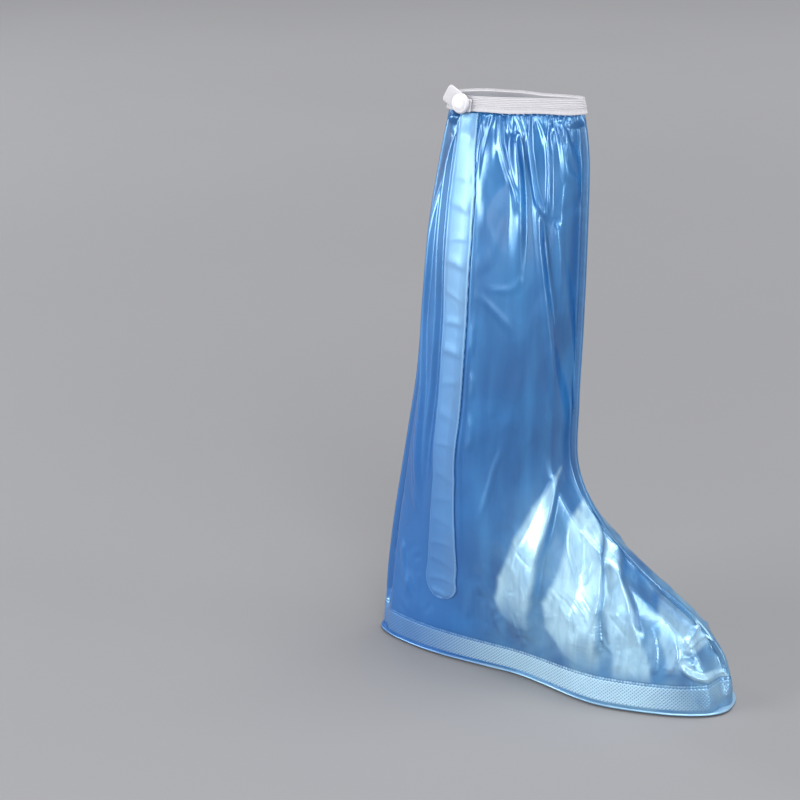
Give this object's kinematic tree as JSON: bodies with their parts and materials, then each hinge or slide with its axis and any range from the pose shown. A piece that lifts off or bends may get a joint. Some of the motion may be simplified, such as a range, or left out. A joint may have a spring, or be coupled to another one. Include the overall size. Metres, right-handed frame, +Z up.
{
  "type": "disposable boot cover",
  "caption": "Tall disposable boot cover: gathered film shell with a textured foot border, thin welded sole, ribbed elastic top band, snap tab and a long closing flap on its inner side.",
  "frame": {"origin": "on the floor under the centre of the sole's overall length and width", "axes": "+Z up, toe towards -Y, heel towards +Y, inner side of a left foot towards -X"},
  "size_m": [0.0893, 0.28, 0.4248],
  "materials": {
    "film": "pearly translucent blue film with a soft gloss",
    "border": "the same film embossed with a fine diagonal lattice",
    "sole": "pale blue welded sheet, satin",
    "elastic": "white ribbed woven elastic, matte",
    "button": "white moulded plastic, soft gloss"
  },
  "bodies": {
    "root": {"inner_instep": "film", "inner_shaft": "film", "outer_instep": "film", "outer_shaft": "film", "inner_border": "border", "outer_border": "border", "front_seam": "film", "back_seam": "film", "closing_flap": "film", "sole": "sole", "elastic_band": "elastic", "band_tab": "elastic", "snap_button": "button"}
  },
  "joints": []
}
